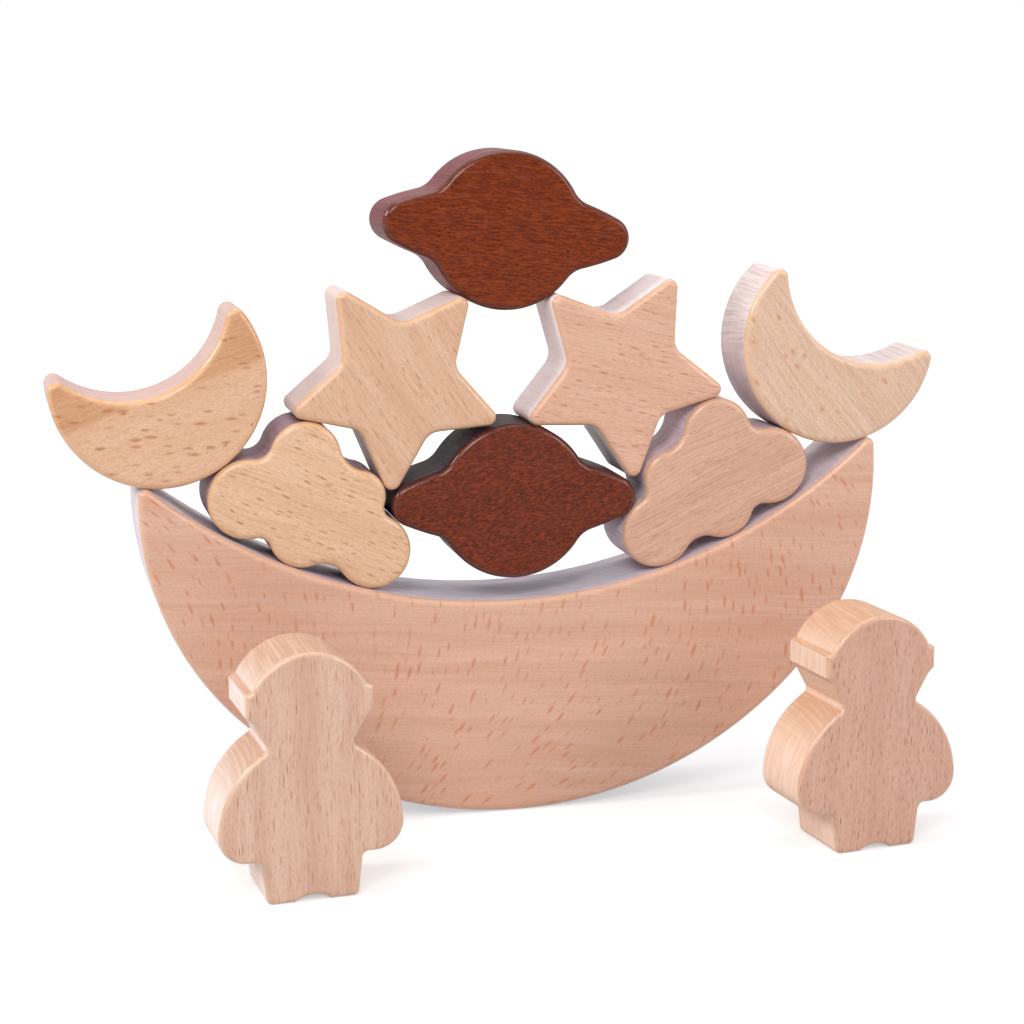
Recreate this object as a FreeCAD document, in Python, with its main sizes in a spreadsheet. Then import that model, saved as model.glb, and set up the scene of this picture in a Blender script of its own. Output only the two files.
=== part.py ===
"""Wooden stacking balance game: a crescent rocker that carries clouds, planets, stars and moons,
with two flat figures standing in front of it.

Millimetres. +Z is up, X runs along the rocker and the front of the game faces -Y.
The origin is on the ground, in the middle of the rectangle that the game takes up.
"""
import FreeCAD, Part
import math
import os
import Sketcher
from FreeCAD import Placement, Rotation, Vector

# Driving sizes, in millimetres and degrees
SIZES = {
    # boards that the pieces are sawn from
    "board_thickness": 20.0,
    "rocker_thickness": 26.0,
    "block_edge_radius": 1.8,
    "rocker_edge_radius": 1.7,
    "blocks_forward": 2.5,
    "seat_gap": 0.1,
    # rocker, a crescent whose ends turn up more tightly than its bottom
    "rocker_bottom_radius": 104.0,
    "rocker_bottom_reach": 70.0,
    "rocker_end_radius": 78.4,
    "rocker_seat_radius": 141.0,
    "rocker_middle_height": 56.0,
    "rocker_horn_radius": 1.8,
    "rocker_lean": 1.6,
    # moon
    "moon_outer_radius": 26.4,
    "moon_hollow_radius": 25.2,
    "moon_hollow_offset": 22.1,
    "moon_horn_radius": 2.4,
    # star
    "star_tip_reach": 29.4,
    "star_valley_reach": 14.9,
    "star_tip_radius": 2.2,
    "star_valley_radius": 4.6,
    # ringed planet
    "planet_disc_radius": 19.8,
    "planet_ring_half_width": 11.1,
    "planet_ring_arc_radius": 69.6,
    "planet_ring_tip_radius": 5.5,
    "planet_blend_radius": 7.0,
    # cloud, five round lobes with a hollow between each two
    "cloud_top_across": -2.1,
    "cloud_top_up": 12.4,
    "cloud_top_radius": 9.0,
    "cloud_side_across": -16.5,
    "cloud_side_up": 2.7,
    "cloud_side_radius": 10.0,
    "cloud_keel_across": -3.2,
    "cloud_keel_up": -6.7,
    "cloud_keel_radius": 8.5,
    "cloud_foot_across": 14.5,
    "cloud_foot_up": -12.0,
    "cloud_foot_radius": 9.45,
    "cloud_shoulder_across": 11.2,
    "cloud_shoulder_up": 1.9,
    "cloud_shoulder_radius": 6.7,
    "cloud_hollow_top_side": 4.4,
    "cloud_hollow_side_keel": 3.3,
    "cloud_hollow_keel_foot": 6.1,
    "cloud_hollow_foot_shoulder": 2.9,
    "cloud_hollow_shoulder_top": 7.6,
    # standing figure, given as the right half of its outline
    "figure_height": 59.0,
    "figure_edge_radius": 1.2,
    "figure_dome_radius": 14.8,
    "figure_ear_reach": 14.9,
    "figure_ear_root_height": 50.8,
    "figure_ear_top": 50.0,
    "figure_ear_bottom": 44.8,
    "figure_cheek_reach": 13.3,
    "figure_cheek_height": 43.2,
    "figure_neck_reach": 9.7,
    "figure_neck_height": 36.8,
    "figure_shoulder_radius": 23.0,
    "figure_arm_reach": 21.8,
    "figure_arm_end_radius": 6.8,
    "figure_arm_height": 10.4,
    "figure_leg_reach": 12.0,
    "figure_sole_reach": 10.8,
    "figure_instep_reach": 4.2,
    "figure_instep_rise": 1.3,
    "figure_corner_radius": 1.5,
    # where the loose pieces are put down
    "left_cloud_across": -51.9,
    "left_cloud_lean": 0.0,
    "right_cloud_across": 51.0,
    "right_cloud_lean": 2.0,
    "lower_planet_across": -1.0,
    "lower_planet_lean": 0.0,
    "left_star_across": -30.7,
    "left_star_lean": -40.0,
    "right_star_across": 27.3,
    "right_star_lean": -29.3,
    "top_planet_across": -4.3,
    "top_planet_lean": -5.2,
    "top_planet_back": 3.5,
    "left_moon_across": -87.8,
    "left_moon_lean": 21.0,
    "right_moon_across": 85.3,
    "right_moon_lean": -28.6,
    "left_figure_across": -62.7,
    "right_figure_across": 76.2,
    "figures_forward": 53.3,
    "left_figure_turn": 4.5,
    "right_figure_turn": 6.8,
}

doc = FreeCAD.newDocument("stacking_balance_game")
FACING_FRONT = Vector(0, -1, 0)
CLOUD_LOBES = ("top", "side", "keel", "foot", "shoulder")


def make_sheet():
    """The driving sizes, one named cell each."""
    sheet = doc.addObject("Spreadsheet::Sheet", "Sizes")
    for row, (name, value) in enumerate(SIZES.items(), start=1):
        sheet.set("A%d" % row, name)
        sheet.set("B%d" % row, str(value))
        sheet.setAlias("B%d" % row, name)
    doc.recompute()


# Sketches, drawn in the upright plane that the boards lie in

def new_body(label):
    body = doc.addObject("PartDesign::Body", label)
    body.Label = label
    return body


def upright_sketch(body, name):
    sketch = body.newObject("Sketcher::SketchObject", name)
    plane = [item for item in body.Origin.OriginFeatures if item.Role == "XZ_Plane"][0]
    sketch.AttachmentSupport = [(plane, "")]
    sketch.MapMode = "FlatFace"
    return sketch


def dimension(sketch, kind, where, value, cells):
    """One dimension that follows cells of the sheet; cells is a formula in their names."""
    index = sketch.addConstraint(Sketcher.Constraint(kind, *where, value))
    sketch.setExpression("Constraints[%d]" % index, cells)


def cell(name):
    return "Sizes." + name


def radius_cell(sketch, curve, name):
    dimension(sketch, "Radius", (curve,), SIZES[name], cell(name))


def place_cells(sketch, curve, point, across, up):
    """Pins a point of a curve by two cells, measured from the sketch's origin."""
    dimension(sketch, "DistanceX", (-1, 1, curve, point), SIZES[across], cell(across))
    dimension(sketch, "DistanceY", (-1, 1, curve, point), SIZES[up], cell(up))


def add_arc(sketch, centre, radius, start, end):
    """An arc drawn anticlockwise from the direction of one point to that of another."""
    first = math.atan2(start[1] - centre[1], start[0] - centre[0])
    last = math.atan2(end[1] - centre[1], end[0] - centre[0])
    while last <= first:
        last += 2 * math.pi
    circle = Part.Circle(Vector(centre[0], centre[1], 0), Vector(0, 0, 1), radius)
    return sketch.addGeometry(Part.ArcOfCircle(circle, first, last))


def add_line(sketch, start, end):
    return sketch.addGeometry(Part.LineSegment(Vector(*start, 0), Vector(*end, 0)))


def join(sketch, kind, first, first_end, second, second_end):
    sketch.addConstraint(Sketcher.Constraint(kind, first, first_end, second, second_end))


def circles_meet(centre_a, radius_a, centre_b, radius_b, side):
    """Where two circles cross; side 1 is left of the way from a to b, and -1 right of it."""
    along = (centre_b[0] - centre_a[0], centre_b[1] - centre_a[1])
    apart = math.hypot(*along)
    foot = (radius_a ** 2 - radius_b ** 2 + apart ** 2) / (2 * apart)
    height = side * math.sqrt(radius_a ** 2 - foot ** 2)
    along = (along[0] / apart, along[1] / apart)
    return (centre_a[0] + foot * along[0] - height * along[1], centre_a[1] + foot * along[1] + height * along[0])


# Features

def saw_board(body, sketch, thickness, name="Board"):
    """Saws a sketched outline out of a board that lies evenly about the upright plane."""
    pad = body.newObject("PartDesign::Pad", name)
    pad.Profile = sketch
    pad.SideType = "Symmetric"
    pad.setExpression("Length", cell(thickness))
    doc.recompute()
    return pad


def through_edges(feature, wanted):
    """The straight edges that run through the board and whose place in the outline is wanted."""
    names = []
    for number, edge in enumerate(feature.Shape.Edges, start=1):
        box = edge.BoundBox
        if box.XLength < 0.01 and box.ZLength < 0.01 and wanted(box.Center.x, box.Center.z):
            names.append("Edge%d" % number)
    return names


def face_edges(feature, thickness):
    """The edges around the board's front and back faces."""
    half = SIZES[thickness] / 2
    names = []
    for number, edge in enumerate(feature.Shape.Edges, start=1):
        depths = [edge.valueAt(at).y for at in (edge.FirstParameter, edge.LastParameter)]
        if abs(abs(sum(depths)) / 2 - half) < 0.001:
            names.append("Edge%d" % number)
    return names


def round_edges(body, feature, edges, radius, name):
    fillet = body.newObject("PartDesign::Fillet", name)
    fillet.Base = (feature, edges)
    fillet.setExpression("Radius", cell(radius))
    doc.recompute()
    return fillet


# Outlines

def make_crescent(label, draw_outer, hollow_radius, hollow_height, hollow_cells, thickness, horn, edge):
    """A crescent: an outer curve closed by a hollow arc whose centre is straight above."""
    body = new_body(label)
    sketch = upright_sketch(body, label + "_outline")
    first, first_end, last, last_end, left, right = draw_outer(sketch)
    centre = (0, hollow_height)
    hollow = add_arc(sketch, centre, SIZES[hollow_radius], left, right)
    radius_cell(sketch, hollow, hollow_radius)
    sketch.addConstraint(Sketcher.Constraint("PointOnObject", hollow, 3, -2))
    dimension(sketch, "DistanceY", (-1, 1, hollow, 3), hollow_height, hollow_cells)
    join(sketch, "Coincident", first, first_end, hollow, 1)
    join(sketch, "Coincident", last, last_end, hollow, 2)
    board = saw_board(body, sketch, thickness)
    horns = round_edges(body, board, through_edges(board, lambda x, z: abs(x) > 0.9 * abs(right[0])), horn, "Horns")
    round_edges(body, horns, face_edges(horns, thickness), edge, "Edges")
    return body


def make_rocker():
    """The rocker's outline has its origin at the centre of the round bottom, about which it rolls."""
    bottom = SIZES["rocker_bottom_radius"]
    end = SIZES["rocker_end_radius"]
    reach = SIZES["rocker_bottom_reach"]
    seat = SIZES["rocker_seat_radius"]
    lean = math.asin(reach / bottom)
    end_centre = ((bottom - end) * math.sin(lean), -(bottom - end) * math.cos(lean))
    seat_height = seat + SIZES["rocker_middle_height"] - bottom
    horn = circles_meet(end_centre, end, (0, seat_height), seat, -1)
    joint = (reach, -math.sqrt(bottom ** 2 - reach ** 2))

    def draw_outer(sketch):
        middle = add_arc(sketch, (0, 0), bottom, (-joint[0], joint[1]), joint)
        radius_cell(sketch, middle, "rocker_bottom_radius")
        join(sketch, "Coincident", middle, 3, -1, 1)
        right = add_arc(sketch, end_centre, end, joint, horn)
        left = add_arc(sketch, (-end_centre[0], end_centre[1]), end, (-horn[0], horn[1]), (-joint[0], joint[1]))
        radius_cell(sketch, right, "rocker_end_radius")
        radius_cell(sketch, left, "rocker_end_radius")
        join(sketch, "Tangent", middle, 2, right, 1)
        join(sketch, "Tangent", left, 2, middle, 1)
        dimension(sketch, "DistanceX", (-1, 1, middle, 2), reach, cell("rocker_bottom_reach"))
        dimension(sketch, "DistanceX", (middle, 1, -1, 1), reach, cell("rocker_bottom_reach"))
        return left, 1, right, 2, (-horn[0], horn[1]), horn

    height_cells = "Sizes.rocker_seat_radius + Sizes.rocker_middle_height - Sizes.rocker_bottom_radius"
    return make_crescent("rocker", draw_outer, "rocker_seat_radius", seat_height, height_cells,
                         "rocker_thickness", "rocker_horn_radius", "rocker_edge_radius")


def make_moon(label):
    """The moon's outline has its origin at the centre of its outer arc."""
    outer = SIZES["moon_outer_radius"]
    offset = SIZES["moon_hollow_offset"]
    horn = circles_meet((0, 0), outer, (0, offset), SIZES["moon_hollow_radius"], -1)

    def draw_outer(sketch):
        arc = add_arc(sketch, (0, 0), outer, (-horn[0], horn[1]), horn)
        radius_cell(sketch, arc, "moon_outer_radius")
        join(sketch, "Coincident", arc, 3, -1, 1)
        return arc, 1, arc, 2, (-horn[0], horn[1]), horn

    return make_crescent(label, draw_outer, "moon_hollow_radius", offset, cell("moon_hollow_offset"),
                         "board_thickness", "moon_horn_radius", "block_edge_radius")


def make_star(label):
    """One kite-shaped ray, repeated five times about the star's middle."""
    body = new_body(label)
    tip = SIZES["star_tip_reach"]
    valley = SIZES["star_valley_reach"]
    lean = math.radians(36)
    right = (valley * math.sin(lean), valley * math.cos(lean))
    corners = [(0, 0), right, (0, tip), (-right[0], right[1])]
    sketch = upright_sketch(body, label + "_ray")
    lines = [add_line(sketch, corners[i], corners[(i + 1) % 4]) for i in range(4)]
    for i in range(4):
        join(sketch, "Coincident", lines[i], 2, lines[(i + 1) % 4], 1)
    join(sketch, "Coincident", lines[0], 1, -1, 1)
    sketch.addConstraint(Sketcher.Constraint("PointOnObject", lines[1], 2, -2))
    dimension(sketch, "DistanceY", (-1, 1, lines[1], 2), tip, cell("star_tip_reach"))
    dimension(sketch, "DistanceX", (-1, 1, lines[0], 2), right[0], "Sizes.star_valley_reach * sin(36)")
    dimension(sketch, "DistanceY", (-1, 1, lines[0], 2), right[1], "Sizes.star_valley_reach * cos(36)")
    dimension(sketch, "DistanceX", (lines[3], 1, -1, 1), right[0], "Sizes.star_valley_reach * sin(36)")
    dimension(sketch, "DistanceY", (-1, 1, lines[3], 1), right[1], "Sizes.star_valley_reach * cos(36)")
    ray = saw_board(body, sketch, "board_thickness", "Ray")
    rays = body.newObject("PartDesign::PolarPattern", "Rays")
    rays.Originals = [ray]
    rays.Axis = (sketch, ["N_Axis"])
    rays.Angle = 360
    rays.Occurrences = 5
    body.Tip = rays
    doc.recompute()
    middle = (tip + valley) / 2
    tips = round_edges(body, rays, through_edges(rays, lambda x, z: math.hypot(x, z) > middle),
                       "star_tip_radius", "Tips")
    valleys = round_edges(body, tips, through_edges(tips, lambda x, z: abs(math.hypot(x, z) - valley) < 0.01),
                          "star_valley_radius", "Valleys")
    round_edges(body, valleys, face_edges(valleys, "board_thickness"), "block_edge_radius", "Edges")
    return body


def make_planet(label):
    """A disc with a ring seen edge on: two flat arcs that cross the disc and meet in blunt tips."""
    body = new_body(label)
    disc_sketch = upright_sketch(body, label + "_disc")
    disc = disc_sketch.addGeometry(Part.Circle(Vector(0, 0, 0), Vector(0, 0, 1), SIZES["planet_disc_radius"]))
    radius_cell(disc_sketch, disc, "planet_disc_radius")
    join(disc_sketch, "Coincident", disc, 3, -1, 1)
    saw_board(body, disc_sketch, "board_thickness", "Disc")
    arc = SIZES["planet_ring_arc_radius"]
    drop = arc - SIZES["planet_ring_half_width"]
    reach = math.sqrt(arc ** 2 - drop ** 2)
    ring_sketch = upright_sketch(body, label + "_ring")
    upper = add_arc(ring_sketch, (0, -drop), arc, (reach, 0), (-reach, 0))
    lower = add_arc(ring_sketch, (0, drop), arc, (-reach, 0), (reach, 0))
    drop_cells = "Sizes.planet_ring_arc_radius - Sizes.planet_ring_half_width"
    for curve, first, second in ((upper, 3, 1), (lower, 1, 3)):
        radius_cell(ring_sketch, curve, "planet_ring_arc_radius")
        ring_sketch.addConstraint(Sketcher.Constraint("PointOnObject", curve, 3, -2))
    dimension(ring_sketch, "DistanceY", (upper, 3, -1, 1), drop, drop_cells)
    dimension(ring_sketch, "DistanceY", (-1, 1, lower, 3), drop, drop_cells)
    join(ring_sketch, "Coincident", upper, 2, lower, 1)
    join(ring_sketch, "Coincident", lower, 2, upper, 1)
    ring = saw_board(body, ring_sketch, "board_thickness", "Ring")
    tips = round_edges(body, ring, through_edges(ring, lambda x, z: abs(x) > 0.99 * reach),
                       "planet_ring_tip_radius", "Tips")
    disc_radius = SIZES["planet_disc_radius"]
    crossings = through_edges(tips, lambda x, z: abs(math.hypot(x, z) - disc_radius) < 0.01)
    blends = round_edges(body, tips, crossings, "planet_blend_radius", "Blends")
    round_edges(body, blends, face_edges(blends, "board_thickness"), "block_edge_radius", "Edges")
    return body


def make_cloud(label):
    """Five lobes around the middle, each run into the next by a hollow arc."""
    body = new_body(label)
    sketch = upright_sketch(body, label + "_outline")
    count = len(CLOUD_LOBES)
    centres = [(SIZES["cloud_%s_across" % lobe], SIZES["cloud_%s_up" % lobe]) for lobe in CLOUD_LOBES]
    radii = [SIZES["cloud_%s_radius" % lobe] for lobe in CLOUD_LOBES]
    hollow_names = ["cloud_hollow_%s_%s" % (CLOUD_LOBES[i], CLOUD_LOBES[(i + 1) % count]) for i in range(count)]
    hollow_centres = []
    for i in range(count):
        hollow = SIZES[hollow_names[i]]
        after = (i + 1) % count
        hollow_centres.append(circles_meet(centres[i], radii[i] + hollow, centres[after], radii[after] + hollow, -1))
    lobes = []
    hollows = []
    for i in range(count):
        after = (i + 1) % count
        lobes.append(add_arc(sketch, centres[i], radii[i], hollow_centres[i - 1], hollow_centres[i]))
        hollows.append(add_arc(sketch, hollow_centres[i], SIZES[hollow_names[i]], centres[after], centres[i]))
    for i in range(count):
        join(sketch, "Tangent", lobes[i], 2, hollows[i], 2)
        join(sketch, "Tangent", hollows[i], 1, lobes[(i + 1) % count], 1)
        place_cells(sketch, lobes[i], 3, "cloud_%s_across" % CLOUD_LOBES[i], "cloud_%s_up" % CLOUD_LOBES[i])
        radius_cell(sketch, lobes[i], "cloud_%s_radius" % CLOUD_LOBES[i])
        radius_cell(sketch, hollows[i], hollow_names[i])
    board = saw_board(body, sketch, "board_thickness")
    round_edges(body, board, face_edges(board, "board_thickness"), "block_edge_radius", "Edges")
    return body


def make_figure(label):
    """Half of the figure's outline from its sole up to its dome, mirrored about the middle."""
    body = new_body(label)
    sketch = upright_sketch(body, label + "_half_outline")
    dome = SIZES["figure_dome_radius"]
    dome_centre = (0, SIZES["figure_height"] - dome)
    root_height = SIZES["figure_ear_root_height"]
    ear_root = (math.sqrt(dome ** 2 - (root_height - dome_centre[1]) ** 2), root_height)
    instep = SIZES["figure_instep_reach"]
    rise = SIZES["figure_instep_rise"]
    instep_radius = (instep ** 2 + rise ** 2) / (2 * rise)
    instep_centre = (0, rise - instep_radius)
    arm_end = SIZES["figure_arm_end_radius"]
    arm_height = SIZES["figure_arm_height"]
    arm_centre = (SIZES["figure_arm_reach"] - arm_end, arm_height + arm_end)
    shoulder = SIZES["figure_shoulder_radius"]
    neck = (SIZES["figure_neck_reach"], SIZES["figure_neck_height"])
    shoulder_centre = circles_meet(arm_centre, shoulder - arm_end, neck, shoulder, 1)
    sole = (SIZES["figure_sole_reach"], 0)
    leg = (SIZES["figure_leg_reach"], arm_height)
    cheek = (SIZES["figure_cheek_reach"], SIZES["figure_cheek_height"])
    ear_low = (SIZES["figure_ear_reach"], SIZES["figure_ear_bottom"])
    ear_high = (SIZES["figure_ear_reach"], SIZES["figure_ear_top"])
    arm_under = (arm_centre[0], arm_height)

    arch_arc = add_arc(sketch, instep_centre, instep_radius, (instep, 0), (0, rise))
    sole_line = add_line(sketch, (instep, 0), sole)
    leg_line = add_line(sketch, sole, leg)
    under_line = add_line(sketch, leg, arm_under)
    outward = (2 * arm_centre[0] - shoulder_centre[0], 2 * arm_centre[1] - shoulder_centre[1])
    arm_arc = add_arc(sketch, arm_centre, arm_end, arm_under, outward)
    shoulder_arc = add_arc(sketch, shoulder_centre, shoulder, arm_centre, neck)
    neck_line = add_line(sketch, neck, cheek)
    cheek_line = add_line(sketch, cheek, ear_low)
    ear_line = add_line(sketch, ear_low, ear_high)
    ear_top_line = add_line(sketch, ear_high, ear_root)
    dome_arc = add_arc(sketch, dome_centre, dome, ear_root, (0, SIZES["figure_height"]))
    middle_line = add_line(sketch, (0, SIZES["figure_height"]), (0, rise))

    join(sketch, "Coincident", arch_arc, 1, sole_line, 1)
    join(sketch, "Coincident", sole_line, 2, leg_line, 1)
    join(sketch, "Coincident", leg_line, 2, under_line, 1)
    join(sketch, "Tangent", under_line, 2, arm_arc, 1)
    join(sketch, "Tangent", arm_arc, 2, shoulder_arc, 1)
    join(sketch, "Coincident", shoulder_arc, 2, neck_line, 1)
    join(sketch, "Coincident", neck_line, 2, cheek_line, 1)
    join(sketch, "Coincident", cheek_line, 2, ear_line, 1)
    join(sketch, "Coincident", ear_line, 2, ear_top_line, 1)
    join(sketch, "Coincident", ear_top_line, 2, dome_arc, 1)
    join(sketch, "Coincident", dome_arc, 2, middle_line, 1)
    join(sketch, "Coincident", middle_line, 2, arch_arc, 2)
    for curve in (sole_line, under_line):
        sketch.addConstraint(Sketcher.Constraint("Horizontal", curve))
    for curve, point in ((arch_arc, 2), (arch_arc, 3), (dome_arc, 2), (dome_arc, 3)):
        sketch.addConstraint(Sketcher.Constraint("PointOnObject", curve, point, -2))
    sketch.addConstraint(Sketcher.Constraint("Vertical", ear_line))
    sketch.addConstraint(Sketcher.Constraint("PointOnObject", sole_line, 1, -1))
    radius_cell(sketch, arm_arc, "figure_arm_end_radius")
    radius_cell(sketch, shoulder_arc, "figure_shoulder_radius")
    radius_cell(sketch, dome_arc, "figure_dome_radius")
    place_cells(sketch, shoulder_arc, 2, "figure_neck_reach", "figure_neck_height")
    place_cells(sketch, cheek_line, 1, "figure_cheek_reach", "figure_cheek_height")
    place_cells(sketch, ear_line, 1, "figure_ear_reach", "figure_ear_bottom")
    place_cells(sketch, leg_line, 2, "figure_leg_reach", "figure_arm_height")
    for curve, point, name in ((sole_line, 1, "figure_instep_reach"), (sole_line, 2, "figure_sole_reach")):
        dimension(sketch, "DistanceX", (-1, 1, curve, point), SIZES[name], cell(name))
    for curve, point, name in ((arch_arc, 2, "figure_instep_rise"), (ear_line, 2, "figure_ear_top"),
                               (dome_arc, 1, "figure_ear_root_height"), (dome_arc, 2, "figure_height")):
        dimension(sketch, "DistanceY", (-1, 1, curve, point), SIZES[name], cell(name))
    dimension(sketch, "DistanceX", (-1, 1, arm_arc, 3), arm_centre[0],
              "Sizes.figure_arm_reach - Sizes.figure_arm_end_radius")

    half = saw_board(body, sketch, "board_thickness", "Half")
    whole = body.newObject("PartDesign::Mirrored", "Whole")
    whole.Originals = [half]
    whole.MirrorPlane = (sketch, ["V_Axis"])
    body.Tip = whole
    doc.recompute()

    def soft_corner(x, z):
        return any(math.hypot(abs(x) - corner[0], z - corner[1]) < 0.01 for corner in (sole, leg, neck))

    soft = round_edges(body, whole, through_edges(whole, soft_corner), "figure_corner_radius", "Corners")
    round_edges(body, soft, face_edges(soft, "board_thickness"), "figure_edge_radius", "Edges")
    return body


# Putting the pieces down, each on what carries it

HALF_TURN = Rotation(Vector(0, 0, 1), 180)
LEAN_SEARCH = 3.0
ACROSS_SEARCH = 4.0
SEARCH_STEPS = 13
LIFT = 6.0
CLOSE_ENOUGH = 0.002


def outline_of(body):
    """The outline halfway through the board, where its edges aren't rounded."""
    return body.Shape.slice(Vector(0, 1, 0), 0)[0]


def stand(across, depth, up, lean, turned=False):
    """A place in the stack: lean is anticlockwise seen from the front."""
    rotation = Rotation(FACING_FRONT, lean)
    if turned:
        rotation = rotation.multiply(HALF_TURN)
    return Placement(Vector(across, depth, up), rotation)


def moved(outline, place):
    copy = outline.copy()
    copy.Placement = place.multiply(copy.Placement)
    return copy


def let_fall(outline, across, up, lean, turned, supports):
    """Lowers an outline until it lies a seat gap above a support.

    Gives its height, itself, the way the support pushes it, and where, counted from its own weight.
    """
    clear = LIFT
    while clear > CLOSE_ENOUGH:
        here = moved(outline, stand(across, 0, up, lean, turned))
        nearest, points, details = min((here.distToShape(support) for support in supports), key=lambda near: near[0])
        clear = nearest - SIZES["seat_gap"]
        up -= clear
    return up, here, points[0][0] - points[0][1], points[0][0] - Part.Face(here).CenterOfMass


def settle(body, across, lean, supports, held, turned=False, back=0):
    """Lets a piece fall and puts it where what holds it on one side balances the other.

    A piece that stands leans until it has a foot on either side of its weight. One that is wedged
    leans until its neighbours' pushes balance. A round one rolls sideways until they do. It may lie
    some way back from the other blocks.
    """
    outline = outline_of(body)
    up = max(support.BoundBox.ZMax for support in supports) + outline.BoundBox.DiagonalLength
    rolls = held == "rolls"
    low = -(ACROSS_SEARCH if rolls else LEAN_SEARCH)
    high = -low
    for step in range(SEARCH_STEPS):
        shift = (low + high) / 2
        here_across = across + shift if rolls else across
        here_lean = lean if rolls else lean + shift
        up, here, push, arm = let_fall(outline, here_across, up + LIFT, here_lean, turned, supports)
        force = {"stands": arm.x, "wedged": arm.x * push.z - arm.z * push.x, "rolls": push.x}[held]
        if force > 0:
            low = shift
        else:
            high = shift
    body.Placement = stand(here_across, back - SIZES["blocks_forward"], up, here_lean, turned)
    print("%s stands at %.2f, %.2f and leans %.2f degrees" % (body.Label, here_across, up, here_lean))
    return here


def put_down(name, make, supports, held, turned=False, back=0):
    """Settles a newly made piece from the place and lean that the sheet gives it."""
    return settle(make(name), SIZES[name + "_across"], SIZES[name + "_lean"], supports, held, turned, back)


def put_down_pieces():
    rocker = make_rocker()
    outline = outline_of(rocker)
    rocker.Placement = stand(0, 0, SIZES["rocker_bottom_radius"], SIZES["rocker_lean"])
    boat = moved(outline, rocker.Placement)
    left_cloud = put_down("left_cloud", make_cloud, [boat], "stands")
    right_cloud = put_down("right_cloud", make_cloud, [boat], "stands", turned=True)
    low_planet = put_down("lower_planet", make_planet, [left_cloud, right_cloud, boat], "stands")
    left_star = put_down("left_star", make_star, [left_cloud, low_planet], "wedged")
    right_star = put_down("right_star", make_star, [low_planet, right_cloud], "wedged")
    put_down("top_planet", make_planet, [left_star, right_star], "rolls", back=SIZES["top_planet_back"])
    put_down("left_moon", make_moon, [boat, left_cloud], "rolls")
    put_down("right_moon", make_moon, [boat, right_cloud], "rolls")
    for side in ("left", "right"):
        figure = make_figure(side + "_figure")
        turn = Rotation(Vector(0, 0, 1), SIZES[side + "_figure_turn"])
        place = Vector(SIZES[side + "_figure_across"], -SIZES["figures_forward"], 0)
        figure.Placement = Placement(place, turn)


def bodies():
    return [item for item in doc.Objects if item.TypeId == "PartDesign::Body"]


def centre_on_ground():
    """Moves everything so that the origin is on the ground, in the middle of the room the game takes."""
    room = FreeCAD.BoundBox()
    for body in bodies():
        room.add(body.Shape.optimalBoundingBox())
    shift = Vector(-room.Center.x, -room.Center.y, 0)
    for body in bodies():
        body.Placement = Placement(shift, Rotation()).multiply(body.Placement)
    print("moved by %.3f across and %.3f in depth" % (shift.x, shift.y))


def write_pieces():
    """Stops on any failed object or shape before it writes a file."""
    doc.recompute()
    for item in doc.Objects:
        if "Invalid" in item.State or "Error" in item.State:
            raise RuntimeError("%s did not build: %s" % (item.Name, item.State))
    for body in bodies():
        if body.Shape.isNull() or not body.Shape.isValid() or len(body.Shape.Solids) != 1:
            raise RuntimeError("%s is not one sound solid" % body.Label)
    os.makedirs("parts", exist_ok=True)
    for body in bodies():
        body.Shape.exportStep("parts/%s.step" % body.Label)
        print("%s %.0f cubic millimetres" % (body.Label, body.Shape.Volume))


make_sheet()
put_down_pieces()
centre_on_ground()
write_pieces()
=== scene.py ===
"""Looks of the wooden stacking balance game: beech blocks, two of them stained dark, in a white studio.

Everything stands in the part's own frame, in metres. The wood is worked out in millimetres.
"""
import math

import bpy
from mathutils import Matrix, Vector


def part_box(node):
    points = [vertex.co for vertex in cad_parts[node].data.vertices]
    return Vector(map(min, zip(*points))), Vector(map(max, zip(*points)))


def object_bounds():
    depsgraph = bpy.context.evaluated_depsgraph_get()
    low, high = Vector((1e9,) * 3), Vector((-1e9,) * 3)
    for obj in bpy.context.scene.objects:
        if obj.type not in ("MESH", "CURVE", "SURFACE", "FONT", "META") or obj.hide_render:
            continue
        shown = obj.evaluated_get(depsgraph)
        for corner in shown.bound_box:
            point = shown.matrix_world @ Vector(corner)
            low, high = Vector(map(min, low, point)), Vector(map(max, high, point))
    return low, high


# Camera: its place in metres, its turn and tilt in degrees, its lens and sensor in millimetres
CAMERA_AT = (-0.1339, -0.5129, 0.1863)
CAMERA_TURN = -14.26
CAMERA_DOWN = 11.20
CAMERA_LENS = 77.34
SENSOR_WIDTH = 36.0

MM_PER_METRE = 1000.0
WHITE = (1.0, 1.0, 1.0)

# Light from all around, and the floor: its grey, how much it glows to the camera near the object and
# further out, and how far out that change starts and ends, in metres
WORLD_COLOUR = (0.93, 0.95, 1.0)
WORLD_STRENGTH = 0.36
FLOOR_SIZE = 6.0
FLOOR_TONE = 0.60
FLOOR_GLOW = 0.50
FLOOR_GLOW_FAR = 1.0
SHADOW_REACH = 0.30
SHADOW_END = 0.90

# Square softboxes: where each stands and its width in metres, its power in watts and its colour
LAMPS = {
    "front_softbox": {"place": (-0.50, -0.95, 0.95), "width": 0.60, "power": 8.7,
                      "colour": (1.0, 0.98, 0.96)},
    "right_softbox": {"place": (1.05, -0.80, 0.65), "width": 0.60, "power": 6.9,
                      "colour": (1.0, 0.98, 0.98)},
    "left_softbox": {"place": (-1.05, -0.05, 0.75), "width": 0.36, "power": 6.2, "colour": WHITE},
    "top_softbox": {"place": (0.10, 0.25, 1.25), "width": 0.90, "power": 4.4, "colour": WHITE},
}

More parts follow.
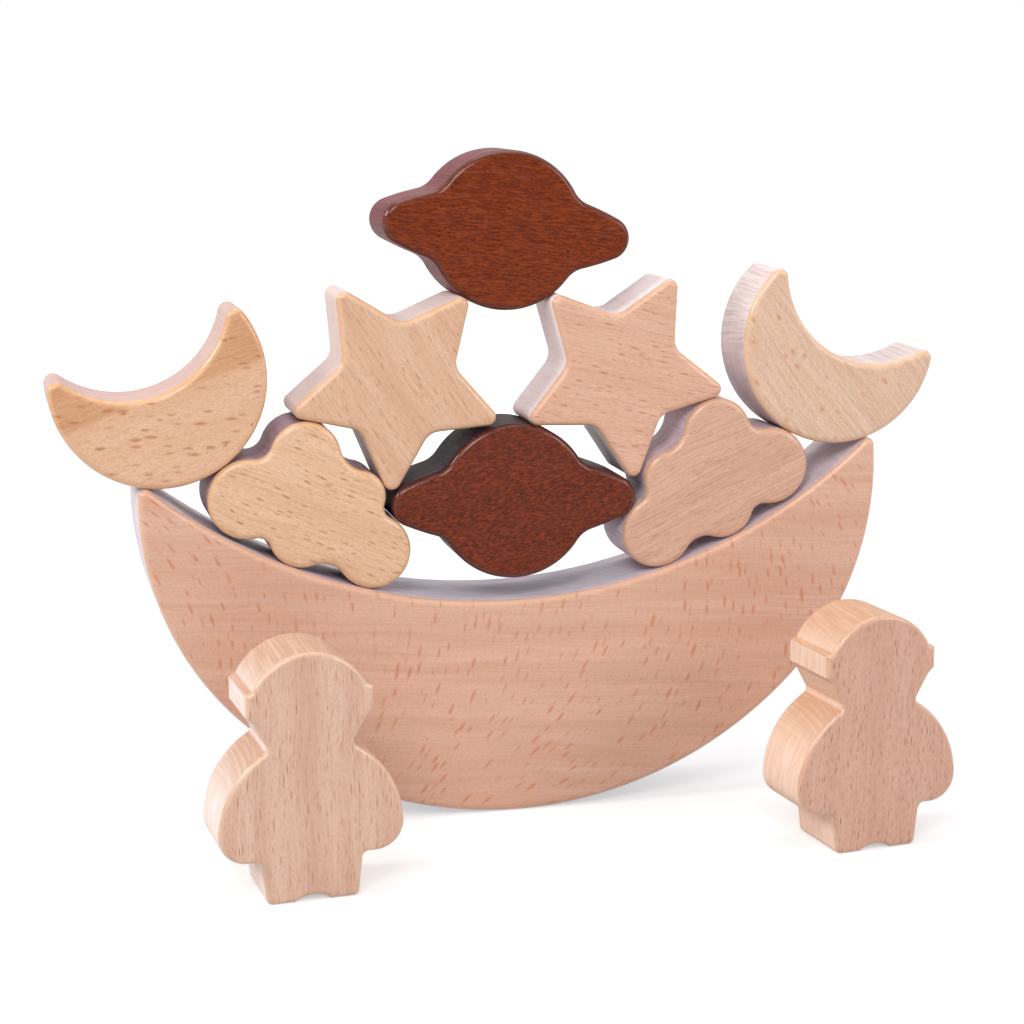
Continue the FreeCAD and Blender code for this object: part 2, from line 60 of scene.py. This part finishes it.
# Grain: the size of each mark in millimetres along, through and across the board, the detail of its noise,
# and the levels of noise between which it appears. The size of the fine streaks comes from the board.
GRAIN = {
    "Bands": {"size": (80.0, 20.0, 5.5), "detail": 2.0, "levels": (0.34, 0.66)},
    "Streaks": {"detail": 4.0, "levels": (0.40, 0.70)},
    "Lines": {"size": (60.0, 8.0, 0.75), "detail": 2.0, "levels": (0.57, 0.68)},
    "Grit": {"size": (0.8, 0.8, 0.40), "detail": 2.0, "levels": (0.36, 0.64)},
    "Layers": {"size": (9.0, 0.9, 9.0), "detail": 3.0, "levels": (0.32, 0.76)},
    "Rings": {"size": (22.0, 18.0, 0.50), "detail": 3.0, "levels": (0.40, 0.68)},
}
NOISE_ROUGHNESS = 0.6
NOISE_MIDDLE = (0.5, 0.5, 0.5)

# How far straight grain wanders and over what length, in millimetres, and how finely
BEND_LENGTH = 22.0
BEND_REACH = 3.0
BEND_DETAIL = 1.0

# Flecks and pores: how deep they go into the board and the room and half size of a pore, in millimetres,
# the smallest fleck as a share of its stated size, and where a fleck starts and is full, as a share of
# its reach from the middle
FLECK_DEPTH = 6.0
PORE_ROOM = (1.7, FLECK_DEPTH, 0.95)
PORE_HALF_SIZE = (0.75, FLECK_DEPTH, 0.17)
SMALLEST_FLECK = 0.35
FLECK_LEVELS = (1.0, 0.15)

# How far a surface turns to the front, from 0 to 1, where it starts to count and fully counts as a sawn
# side and as the face of the board, and how far it turns along the grain to count as end grain
SIDE_LEVELS = (0.45, 0.04)
FACE_LEVELS = (0.80, 0.985)
END_LEVELS = (0.20, 0.85)

# How strongly each kind of mark shows, from 0 to 1
LINE_MARKS = 0.10
GRIT_MARKS = 0.26
PORE_MARKS = 0.55
EDGE_TONE = 0.45
END_TONE = 0.85
RING_MARKS = 0.50

# The heartwood side of a board: how softly it starts, in millimetres, how much of the band tone it has and
# how much more it is streaked. A board without heartwood has it far outside.
NO_HEART = 1000.0
HEART_BLEND = 1.0
HEART_TONE = 0.85
HEART_STREAKS = 0.45

# Relief: how strongly it shows, how deep a fleck is in metres and how deep a streak is against a fleck.
# Gloss: how much duller marks and sawn sides are, how much more coat the rounded edges have, and the
# roughness, reflection and coat of plain and of stained wood.
BUMP_STRENGTH = 0.2
BUMP_DEPTH = 0.0001
STREAK_DEPTH = 0.4
MARK_DULLNESS = 0.10
SIDE_DULLNESS = 0.12
EDGE_COAT = 0.60
FINISHES = {
    "plain": {"dull": 0.42, "shine": 0.35, "coat": 0.20, "coat_roughness": 0.18},
    "stained": {"dull": 0.30, "shine": 0.04, "coat": 0.16, "coat_roughness": 0.10},
}

# Colours of the woods as they are seen, red, green and blue from 0 to 255
TONES = {
    "honey": {
        "face": (226, 187, 159), "band": (213, 168, 136), "streak": (194, 144, 108), "fleck": (166, 108, 68),
        "edge": (232, 182, 134), "side": (234, 214, 208), "layer": (216, 192, 184), "end": (228, 206, 200)},
    "amber": {
        "face": (229, 188, 156), "band": (208, 156, 114), "streak": (186, 130, 88), "fleck": (174, 106, 62),
        "edge": (234, 180, 128), "side": (214, 182, 172), "layer": (192, 156, 148), "end": (214, 182, 172)},
    "wheat": {
        "face": (230, 197, 172), "band": (220, 183, 155), "streak": (182, 140, 110), "fleck": (202, 126, 74),
        "edge": (236, 190, 146), "side": (210, 190, 194), "layer": (180, 154, 154), "end": (250, 233, 226)},
    # The sawn sides, layers and end grain of oat are darkened as painted shade, standing in for the shadow
    # that falls on the left cloud's sides under the moon.
    "oat": {
        "face": (234, 196, 163), "band": (222, 179, 140), "streak": (196, 146, 104), "fleck": (166, 106, 58),
        "edge": (232, 180, 126), "side": (180, 146, 158), "layer": (118, 88, 98), "end": (166, 132, 143)},
    "rose": {
        "face": (226, 182, 158), "band": (214, 167, 141), "streak": (196, 145, 118), "fleck": (200, 130, 96),
        "edge": (224, 174, 140), "side": (228, 218, 228), "layer": (202, 186, 198), "end": (236, 220, 222)},
    "russet": {
        "face": (222, 178, 153), "band": (210, 164, 138), "streak": (184, 136, 110), "fleck": (156, 104, 80),
        "edge": (222, 170, 134), "side": (226, 208, 212), "layer": (176, 152, 160), "end": (224, 206, 211)},
    # The sawn sides, layers and end grain of blush are lightened as far as they go as painted light,
    # standing in for the light that neighbouring pieces keep from the right star's sides.
    "blush": {
        "face": (226, 181, 155), "band": (214, 166, 140), "streak": (194, 142, 112), "fleck": (172, 108, 72),
        "edge": (228, 178, 140), "side": (255, 242, 240), "layer": (240, 216, 216), "end": (255, 240, 238)},
    "sand": {
        "face": (227, 190, 167), "band": (210, 168, 146), "streak": (192, 146, 118), "fleck": (164, 108, 74),
        "edge": (224, 182, 150), "side": (252, 238, 232), "layer": (236, 202, 180), "end": (193, 146, 114)},
    "clay": {
        "face": (216, 172, 150), "band": (204, 158, 136), "streak": (184, 136, 112), "fleck": (154, 98, 74),
        "edge": (220, 174, 142), "side": (248, 220, 202), "layer": (234, 196, 168), "end": (200, 153, 116)},
    "stain": {
        "face": (97, 33, 12), "band": (78, 24, 9), "streak": (150, 68, 28), "fleck": (44, 14, 7),
        "edge": (58, 18, 10), "side": (148, 88, 90), "layer": (74, 34, 36), "end": (122, 66, 68)},
    "deep_stain": {
        "face": (88, 38, 24), "band": (68, 30, 22), "streak": (144, 64, 38), "fleck": (40, 20, 16),
        "edge": (66, 22, 16), "side": (84, 64, 68), "layer": (15, 10, 12), "end": (52, 38, 43)},
}

# Flecks, in millimetres and degrees: the room that each has along and across the board, its own length and
# width, the share of the rooms that hold one, its turn from the grain, how much more it turns for each
# millimetre away from the middle of the fan and for each one up the board, and where that middle lies
STRAIGHT = {"turn": 0.0, "fan": 0.0, "fan_middle": 0.0, "lift": 0.0}
FLECKS = {
    "slanted": {"room": (2.9, 3.1), "length": 4.8, "width": 1.05, "share": 0.90,
                "turn": 70.0, "fan": 0.38, "fan_middle": 20.0, "lift": 0.9},
    "dashes": {"room": (3.0, 1.2), "length": 3.4, "width": 0.52, "share": 0.90, **STRAIGHT},
    "dense": {"room": (2.3, 0.68), "length": 2.8, "width": 0.40, "share": 1.0, **STRAIGHT},
    "long": {"room": (3.4, 0.80), "length": 4.0, "width": 0.42, "share": 0.95, **STRAIGHT},
    "fine": {"room": (3.2, 1.0), "length": 3.0, "width": 0.40, "share": 0.80, **STRAIGHT},
    "spots": {"room": (4.0, 2.4), "length": 4.4, "width": 1.20, "share": 1.0, **STRAIGHT, "turn": -18.0},
    "dots": {"room": (4.4, 3.3), "length": 2.5, "width": 1.35, "share": 0.90, **STRAIGHT},
    "pores": {"room": (1.6, 0.8), "length": 1.4, "width": 0.44, "share": 0.80, **STRAIGHT},
}

# How long, deep and broad the fine streaks of each kind are, in millimetres
STREAKS = {
    "drawn": (30.0, 4.0, 0.60),
    "straight": (9.0, 3.0, 0.46),
    "lined": (16.0, 3.0, 0.34),
    "wavy": (2.4, 3.0, 0.34),
    "mottled": (1.3, 3.0, 0.50),
}

# The board that each piece is sawn from: its tone, its flecks and their strength, the way its grain runs in
# degrees from the +X axis, how strong its bands are, its fine streaks and their strength, and how far up
# across the board its heartwood starts, where it has any
BOARDS = {
    "rocker": {"tone": "rose", "flecks": "slanted", "marks": 0.85, "grain": -4, "bands": 0.8,
               "streaks": "drawn", "streak_marks": 0.34},
    # The left cloud's oat tone carries painted shade on its sawn sides.
    "left_cloud": {"tone": "oat", "flecks": "dashes", "marks": 1.0, "grain": -24, "bands": 0.5,
                   "streaks": "straight", "streak_marks": 0.40},
    "right_cloud": {"tone": "russet", "flecks": "long", "marks": 0.60, "grain": 23, "bands": 0.5,
                    "streaks": "lined", "streak_marks": 0.56},
    "lower_planet": {"tone": "deep_stain", "flecks": "pores", "marks": 0.90, "grain": 8, "bands": 0.5,
                     "streaks": "mottled", "streak_marks": 0.78},
    "left_star": {"tone": "honey", "flecks": "fine", "marks": 0.90, "grain": -58, "bands": 0.7,
                  "streaks": "straight", "streak_marks": 0.45},
    # The right star's blush tone carries painted light on its sawn sides.
    "right_star": {"tone": "blush", "flecks": "dashes", "marks": 0.95, "grain": -14, "bands": 0.5,
                   "streaks": "straight", "streak_marks": 0.42},
    "top_planet": {"tone": "stain", "flecks": "pores", "marks": 0.85, "grain": -6, "bands": 0.5,
                   "streaks": "wavy", "streak_marks": 0.78},
    "left_moon": {"tone": "amber", "flecks": "spots", "marks": 1.0, "grain": 18, "bands": 0.25,
                  "streaks": "straight", "streak_marks": 0.18, "heart": 0.8},
    "right_moon": {"tone": "wheat", "flecks": "dots", "marks": 0.95, "grain": -53, "bands": 0.5,
                   "streaks": "lined", "streak_marks": 0.48},
    "left_figure": {"tone": "sand", "flecks": "long", "marks": 0.82, "grain": 90, "bands": 0.9,
                    "streaks": "straight", "streak_marks": 0.30},
    "right_figure": {"tone": "clay", "flecks": "dense", "marks": 0.95, "grain": 88, "bands": 0.6,
                     "streaks": "straight", "streak_marks": 0.30},
}


def linear(colour):
    """A seen colour, from 0 to 255, as the light that it stands for by the usual curve of screens."""
    parts = []
    for value in colour:
        share = value / 255
        parts.append(share / 12.92 if share < 0.04045 else ((share + 0.055) / 1.055) ** 2.4)
    return (*parts, 1.0)


# Small helpers for node trees

def feed(tree, socket, value):
    """Gives an input a value, or links it to another node's output."""
    if isinstance(value, bpy.types.NodeSocket):
        tree.links.new(value, socket)
    else:
        socket.default_value = value


def add(tree, kind, settings=None, **inputs):
    """A node with its settings and its inputs. An input is named, or is in0, in1 and so on by its place."""
    node = tree.nodes.new(kind)
    for name, value in (settings or {}).items():
        setattr(node, name, value)
    for name, value in inputs.items():
        by_place = name.startswith("in") and name[2:].isdigit()
        feed(tree, node.inputs[int(name[2:]) if by_place else name.replace("_", " ")], value)
    return node


def calculate(tree, operation, first, second=0.0, clamp=False):
    settings = {"operation": operation, "use_clamp": clamp}
    return add(tree, "ShaderNodeMath", settings, in0=first, in1=second).outputs[0]


def plus(tree, first, second):
    return calculate(tree, "ADD", first, second)


def minus(tree, first, second):
    return calculate(tree, "SUBTRACT", first, second)


def times(tree, first, second):
    return calculate(tree, "MULTIPLY", first, second)


def combine(tree, operation, first, second):
    """Two vectors worked out together, part by part."""
    return add(tree, "ShaderNodeVectorMath", {"operation": operation}, in0=first, in1=second).outputs[0]


def scaled(tree, vector, factor):
    return add(tree, "ShaderNodeVectorMath", {"operation": "SCALE"}, in0=vector, Scale=factor).outputs[0]


def length(tree, vector):
    return add(tree, "ShaderNodeVectorMath", {"operation": "LENGTH"}, in0=vector).outputs["Value"]


def turned_in_face(tree, vector, angle):
    """A vector turned about the axis that runs through the board."""
    settings = {"rotation_type": "Y_AXIS"}
    return add(tree, "ShaderNodeVectorRotate", settings, Vector=vector, Angle=angle).outputs[0]


def blend(tree, share, first, second):
    """From the first colour to the second as share goes from 0 to 1."""
    return add(tree, "ShaderNodeMix", {"data_type": "RGBA"}, in0=share, in6=first, in7=second).outputs[2]


def ramp(tree, value, start, end):
    """A soft step from 0 at start to 1 at end."""
    settings = {"interpolation_type": "SMOOTHSTEP"}
    return add(tree, "ShaderNodeMapRange", settings, Value=value, From_Min=start, From_Max=end).outputs[0]


def sockets(kind, *names):
    """Names of one kind of socket, as new_group takes them."""
    return [(name, "NodeSocket" + kind) for name in names]


def new_group(name, inputs, outputs):
    """A shader node group with named inputs and outputs; gives its tree and both ends."""
    tree = bpy.data.node_groups.new(name, "ShaderNodeTree")
    for socket, kind in inputs:
        tree.interface.new_socket(socket, in_out="INPUT", socket_type=kind)
    for socket, kind in outputs:
        tree.interface.new_socket(socket, in_out="OUTPUT", socket_type=kind)
    return tree, tree.nodes.new("NodeGroupInput").outputs, tree.nodes.new("NodeGroupOutput").inputs


def use(tree, group, **inputs):
    """Places a shared group with its own values; gives its outputs."""
    return add(tree, "ShaderNodeGroup", {"node_tree": group}, **inputs).outputs


def new_material(name):
    """An empty material and its node tree."""
    material = bpy.data.materials.new(name)
    material.use_nodes = True
    material.node_tree.nodes.clear()
    return material, material.node_tree


def finish_tree(tree, kind, shader):
    """Links the shader to the output node of a material or of the world."""
    tree.links.new(shader.outputs[0], tree.nodes.new(kind).inputs["Surface"])


# Effects that the woods share

def board_group():
    """Places in a piece as millimetres along the grain, through the board and across the grain."""
    inputs = sockets("Vector", "Middle") + sockets("Float", "Grain turn")
    tree, given, made = new_group("board_places", inputs, sockets("Vector", "Board", "Facing"))
    place = add(tree, "ShaderNodeTexCoord").outputs["Object"]
    in_mm = scaled(tree, combine(tree, "SUBTRACT", place, given["Middle"]), MM_PER_METRE)
    normal = add(tree, "ShaderNodeNewGeometry").outputs["Normal"]
    for name, vector in (("Board", bend_gently(tree, in_mm)), ("Facing", normal)):
        tree.links.new(turned_in_face(tree, vector, given["Grain turn"]), made[name])
    return tree


def bend_gently(tree, places):
    """Lets straight grain wander a little, as it does in a real board."""
    drawn = scaled(tree, places, 1 / BEND_LENGTH)
    drift = add(tree, "ShaderNodeTexNoise", Vector=drawn, Scale=1.0, Detail=BEND_DETAIL).outputs["Color"]
    even = combine(tree, "SUBTRACT", drift, NOISE_MIDDLE)
    return combine(tree, "ADD", places, scaled(tree, even, BEND_REACH))


def grain_group():
    """Bands of tone, fine streaks, thin lines and grit, and the marks of sawn sides and of end grain."""
    tree, given, made = new_group("grain", sockets("Vector", "Board", "Streak size"),
                                  sockets("Float", *GRAIN))
    for name, mark in GRAIN.items():
        drawn = combine(tree, "DIVIDE", given["Board"], mark.get("size", given["Streak size"]))
        noise = add(tree, "ShaderNodeTexNoise", Vector=drawn, Scale=1.0, Detail=mark["detail"],
                    Roughness=NOISE_ROUGHNESS).outputs[0]
        tree.links.new(ramp(tree, noise, *mark["levels"]), made[name])
    return tree


def flecks_group():
    """Short soft flecks, at most one in each room, each with its own length and strength."""
    inputs = (sockets("Vector", "Board", "Room", "Half size")
              + sockets("Float", "Turn", "Fan", "Fan middle", "Lift", "Share"))
    tree, given, made = new_group("flecks", inputs, sockets("Float", "Flecks"))
    rooms = combine(tree, "DIVIDE", given["Board"], given["Room"])
    spread = add(tree, "ShaderNodeTexVoronoi", Vector=rooms, Scale=1.0, Randomness=1.0).outputs
    in_mm = combine(tree, "MULTIPLY", combine(tree, "SUBTRACT", rooms, spread["Position"]), given["Room"])

    middle = combine(tree, "MULTIPLY", spread["Position"], given["Room"])
    place = add(tree, "ShaderNodeSeparateXYZ", Vector=middle).outputs
    away = calculate(tree, "ABSOLUTE", minus(tree, place["X"], given["Fan middle"]))
    fanned = times(tree, away, given["Fan"])
    lifted = times(tree, place["Z"], given["Lift"])
    turn = plus(tree, given["Turn"], plus(tree, fanned, lifted))

    shaped = combine(tree, "DIVIDE", turned_in_face(tree, in_mm, turn), given["Half size"])
    chances = add(tree, "ShaderNodeSeparateColor", Color=spread["Color"]).outputs
    own_size = plus(tree, chances[0], SMALLEST_FLECK)
    mark = ramp(tree, calculate(tree, "DIVIDE", length(tree, shaped), own_size), *FLECK_LEVELS)
    strength = ramp(tree, chances[1], minus(tree, 1.0, given["Share"]), 1.0)
    tree.links.new(times(tree, mark, strength), made["Flecks"])
    return tree


def sides_group():
    """Masks for the sawn sides, the rounded edges and the end grain, told by the way the surface faces."""
    tree, given, made = new_group("sides_and_edges", sockets("Vector", "Facing"),
                                  sockets("Float", "Side", "Edge", "End"))
    facing = add(tree, "ShaderNodeSeparateXYZ", Vector=given["Facing"]).outputs
    forward = calculate(tree, "ABSOLUTE", facing["Y"])
    side = ramp(tree, forward, *SIDE_LEVELS)
    face = ramp(tree, forward, *FACE_LEVELS)
    edge = calculate(tree, "SUBTRACT", 1.0, plus(tree, side, face), clamp=True)
    end = ramp(tree, calculate(tree, "ABSOLUTE", facing["X"]), *END_LEVELS)
    for name, value in (("Side", side), ("Edge", edge), ("End", end)):
        tree.links.new(value, made[name])
    return tree


def face_colour(tree, given, grain, marks, masks):
    """The planed faces and their rounded edges."""
    heart = marks["heart"]
    streak_marks = plus(tree, given["Streaks"], times(tree, heart, HEART_STREAKS))
    marked = (
        (heart, HEART_TONE, "Band"),
        (grain["Grit"], GRIT_MARKS, "Streak"),
        (grain["Streaks"], streak_marks, "Streak"),
        (grain["Lines"], LINE_MARKS, "Sawn side"),
        (marks["pores"], PORE_MARKS, "Streak"),
        (marks["flecks"], given["Marks"], "Fleck"),
        (masks["Edge"], EDGE_TONE, "Edge"),
    )
    colour = blend(tree, times(tree, grain["Bands"], given["Bands"]), given["Face"], given["Band"])
    for mask, strength, tone in marked:
        colour = blend(tree, times(tree, mask, strength), colour, given[tone])
    return colour


def side_colour(tree, given, grain, masks):
    """The sawn sides, which show layers, and the end grain, which shows rings."""
    layered = blend(tree, grain["Layers"], given["Sawn side"], given["Layer"])
    ringed = blend(tree, times(tree, grain["Rings"], RING_MARKS), given["End grain"], given["Layer"])
    return blend(tree, times(tree, masks["End"], END_TONE), layered, ringed)


def wood_group(shared):
    """The colour, roughness, coat and height of a piece of wood, from its board, flecks and tones."""
    inputs = (sockets("Vector", "Middle", "Streak size", "Room", "Half size")
              + sockets("Float", "Grain turn", "Turn", "Fan", "Fan middle", "Lift", "Share", "Marks",
                        "Bands", "Streaks", "Heart", "Dull", "Coat")
              + sockets("Color", "Face", "Band", "Streak", "Fleck", "Edge", "Sawn side", "Layer",
                        "End grain"))
    outputs = sockets("Color", "Color") + sockets("Float", "Roughness", "Coat", "Height")
    tree, given, made = new_group("wood", inputs, outputs)

    places = use(tree, shared["board"], Middle=given["Middle"], Grain_turn=given["Grain turn"])
    board = places["Board"]
    grain = use(tree, shared["grain"], Board=board, Streak_size=given["Streak size"])
    masks = use(tree, shared["sides"], Facing=places["Facing"])
    run = {"Board": board, "Turn": given["Turn"], "Fan": given["Fan"], "Fan_middle": given["Fan middle"],
           "Lift": given["Lift"]}
    flecks = use(tree, shared["flecks"], Room=given["Room"], Half_size=given["Half size"],
                 Share=given["Share"], **run)["Flecks"]
    pores = use(tree, shared["flecks"], Room=PORE_ROOM, Half_size=PORE_HALF_SIZE, Share=1.0,
                **run)["Flecks"]
    up = add(tree, "ShaderNodeSeparateXYZ", Vector=board).outputs["Z"]
    heart = ramp(tree, minus(tree, up, given["Heart"]), -HEART_BLEND, HEART_BLEND)

    marks = {"heart": heart, "pores": pores, "flecks": flecks}
    faces = face_colour(tree, given, grain, marks, masks)
    sides = side_colour(tree, given, grain, masks)
    tree.links.new(blend(tree, masks["Side"], faces, sides), made["Color"])

    dents = plus(tree, times(tree, grain["Streaks"], STREAK_DEPTH), flecks)
    rough = plus(tree, given["Dull"], times(tree, dents, MARK_DULLNESS))
    tree.links.new(plus(tree, rough, times(tree, masks["Side"], SIDE_DULLNESS)), made["Roughness"])
    coat = plus(tree, given["Coat"], times(tree, masks["Edge"], EDGE_COAT))
    tree.links.new(times(tree, coat, minus(tree, 1.0, masks["Side"])), made["Coat"])
    tree.links.new(minus(tree, 1.0, dents), made["Height"])
    return tree


# Woods

def wood_material(node_name, board, group):
    """One material for each piece, since each was sawn from its own board."""
    tone = {name: linear(colour) for name, colour in TONES[board["tone"]].items()}
    flecks = FLECKS[board["flecks"]]
    finish = FINISHES["stained" if "stain" in board["tone"] else "plain"]
    low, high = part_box(node_name)
    material, tree = new_material(node_name + "_wood")
    wood = use(tree, group, Middle=(low + high) / 2, Grain_turn=math.radians(board["grain"]),
               Streak_size=STREAKS[board["streaks"]],
               Room=(flecks["room"][0], FLECK_DEPTH, flecks["room"][1]),
               Half_size=(flecks["length"] / 2, FLECK_DEPTH, flecks["width"] / 2),
               Turn=math.radians(flecks["turn"]), Fan=math.radians(flecks["fan"]),
               Fan_middle=flecks["fan_middle"], Lift=math.radians(flecks["lift"]),
               Share=flecks["share"], Marks=board["marks"], Bands=board["bands"],
               Streaks=board["streak_marks"], Heart=board.get("heart", NO_HEART),
               Dull=finish["dull"], Coat=finish["coat"],
               Face=tone["face"], Band=tone["band"], Streak=tone["streak"], Fleck=tone["fleck"],
               Edge=tone["edge"], Sawn_side=tone["side"], Layer=tone["layer"], End_grain=tone["end"])
    bump = add(tree, "ShaderNodeBump", Strength=BUMP_STRENGTH, Distance=BUMP_DEPTH, Height=wood["Height"])
    shader = add(tree, "ShaderNodeBsdfPrincipled", Base_Color=wood["Color"], Roughness=wood["Roughness"],
                 Normal=bump.outputs[0], Specular_IOR_Level=finish["shine"],
                 Coat_Weight=wood["Coat"], Coat_Roughness=finish["coat_roughness"])
    finish_tree(tree, "ShaderNodeOutputMaterial", shader)
    return material


def dress_pieces(nodes):
    """Builds the shared effects once and gives every piece its own wood."""
    shared = {
        "board": board_group(),
        "grain": grain_group(),
        "flecks": flecks_group(),
        "sides": sides_group(),
    }
    group = wood_group(shared)
    for node_name, board in BOARDS.items():
        material = wood_material(node_name, board, group)
        for slot in nodes[node_name].material_slots:
            slot.material = material


# Studio

def white_to_the_camera(tree):
    """1 for what the camera sees, by itself or in a gloss, and 0 for the light that falls on the object."""
    path = add(tree, "ShaderNodeLightPath").outputs
    seen = plus(tree, path["Is Camera Ray"], path["Is Glossy Ray"])
    return calculate(tree, "ADD", seen, path["Is Transmission Ray"], clamp=True)


def make_floor():
    """A pale matt floor that keeps the shadow around the object and turns white further out."""
    bpy.ops.mesh.primitive_plane_add(size=FLOOR_SIZE)
    floor = bpy.context.object
    floor.name = "studio_floor"
    material, tree = new_material("studio_floor")
    away = length(tree, add(tree, "ShaderNodeTexCoord").outputs["Object"])
    glow_level = add(tree, "ShaderNodeMapRange", {"interpolation_type": "SMOOTHSTEP"}, Value=away,
                     From_Min=SHADOW_REACH, From_Max=SHADOW_END, To_Min=FLOOR_GLOW,
                     To_Max=FLOOR_GLOW_FAR).outputs[0]
    matt = add(tree, "ShaderNodeBsdfDiffuse", Color=(FLOOR_TONE, FLOOR_TONE, FLOOR_TONE, 1.0))
    glow = add(tree, "ShaderNodeEmission", Color=(*WHITE, 1.0),
               Strength=times(tree, white_to_the_camera(tree), glow_level))
    both = add(tree, "ShaderNodeAddShader", in0=matt.outputs[0], in1=glow.outputs[0])
    finish_tree(tree, "ShaderNodeOutputMaterial", both)
    floor.data.materials.append(material)


def make_world():
    """Soft light for the object, and plain white where it is seen past the floor or in a gloss."""
    world = bpy.data.worlds.new("studio")
    bpy.context.scene.world = world
    world.use_nodes = True
    tree = world.node_tree
    tree.nodes.clear()
    soft = add(tree, "ShaderNodeBackground", Color=(*WORLD_COLOUR, 1.0), Strength=WORLD_STRENGTH)
    white = add(tree, "ShaderNodeBackground", Color=(*WHITE, 1.0), Strength=1.0)
    both = add(tree, "ShaderNodeMixShader", in0=white_to_the_camera(tree), in1=soft.outputs[0],
               in2=white.outputs[0])
    finish_tree(tree, "ShaderNodeOutputWorld", both)


def make_lamps(target):
    """Softboxes that all face the target."""
    for name, box in LAMPS.items():
        lamp = bpy.data.lights.new(name, "AREA")
        lamp.size = box["width"]
        lamp.energy = box["power"]
        lamp.color = box["colour"]
        holder = bpy.data.objects.new(name, lamp)
        bpy.context.collection.objects.link(holder)
        holder.location = box["place"]
        way = holder.location - target
        holder.rotation_mode = "QUATERNION"
        holder.rotation_quaternion = way.to_track_quat("Z", "Y")


def make_camera():
    camera = bpy.data.cameras.new("camera")
    camera.lens = CAMERA_LENS
    camera.sensor_width = SENSOR_WIDTH
    holder = bpy.data.objects.new("camera", camera)
    bpy.context.collection.objects.link(holder)
    holder.location = CAMERA_AT
    holder.rotation_euler = (math.radians(90 - CAMERA_DOWN), 0, math.radians(CAMERA_TURN))
    bpy.context.scene.camera = holder


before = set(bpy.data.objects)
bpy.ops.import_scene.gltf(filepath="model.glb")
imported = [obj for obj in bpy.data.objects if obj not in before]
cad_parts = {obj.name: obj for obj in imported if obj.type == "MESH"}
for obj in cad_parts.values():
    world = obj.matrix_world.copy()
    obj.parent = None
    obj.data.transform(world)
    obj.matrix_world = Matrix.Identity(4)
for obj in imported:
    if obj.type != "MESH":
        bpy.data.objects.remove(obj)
cad_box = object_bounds()
dress_pieces(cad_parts)
make_floor()
make_world()
make_lamps((cad_box[0] + cad_box[1]) / 2)
make_camera()
bpy.context.scene.view_settings.view_transform = "Standard"
